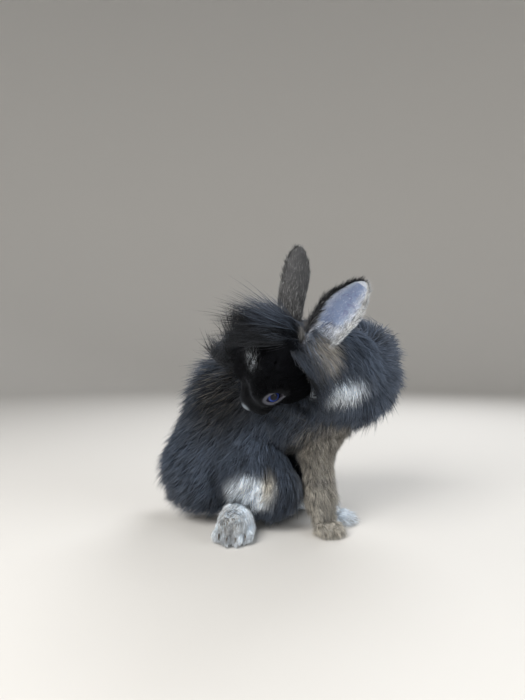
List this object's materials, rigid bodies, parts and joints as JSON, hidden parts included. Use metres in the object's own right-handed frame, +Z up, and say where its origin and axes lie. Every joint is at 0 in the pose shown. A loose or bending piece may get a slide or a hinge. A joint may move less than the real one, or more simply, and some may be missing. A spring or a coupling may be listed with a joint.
{
  "type": "lionhead rabbit",
  "caption": "Young long-haired dwarf rabbit, sitting and turned round to groom its flank, as a still life-size model with upright ears, a mane and long flat feet.",
  "frame": {"origin": "centre of the animal's box, on the floor that it sits on", "axes": "+Z up, +X towards the chest, -Y towards the side that the head is turned to"},
  "size_m": [0.2208, 0.1848, 0.226],
  "materials": {
    "fur_charcoal": "long soft charcoal fur with paler blue-grey tips",
    "fur_black": "short black face fur",
    "fur_ticked": "short fur ticked in tan and brown",
    "fur_cream": "white to cream fur",
    "ear_skin": "thin bare skin, lavender pink, with fine white hair",
    "eye": "wet blue eye with a dark pupil"
  },
  "bodies": {
    "root": {"torso": "fur_charcoal", "neck": "fur_charcoal", "head": "fur_black", "ear_left": "ear_skin", "ear_right": "fur_ticked", "eye_left": "eye", "eye_right": "eye", "foreleg_left": "fur_cream", "foreleg_right": "fur_ticked", "thigh_left": "fur_charcoal", "thigh_right": "fur_charcoal", "hindfoot_left": "fur_cream", "hindfoot_right": "fur_cream", "tail": "fur_charcoal"}
  },
  "joints": []
}
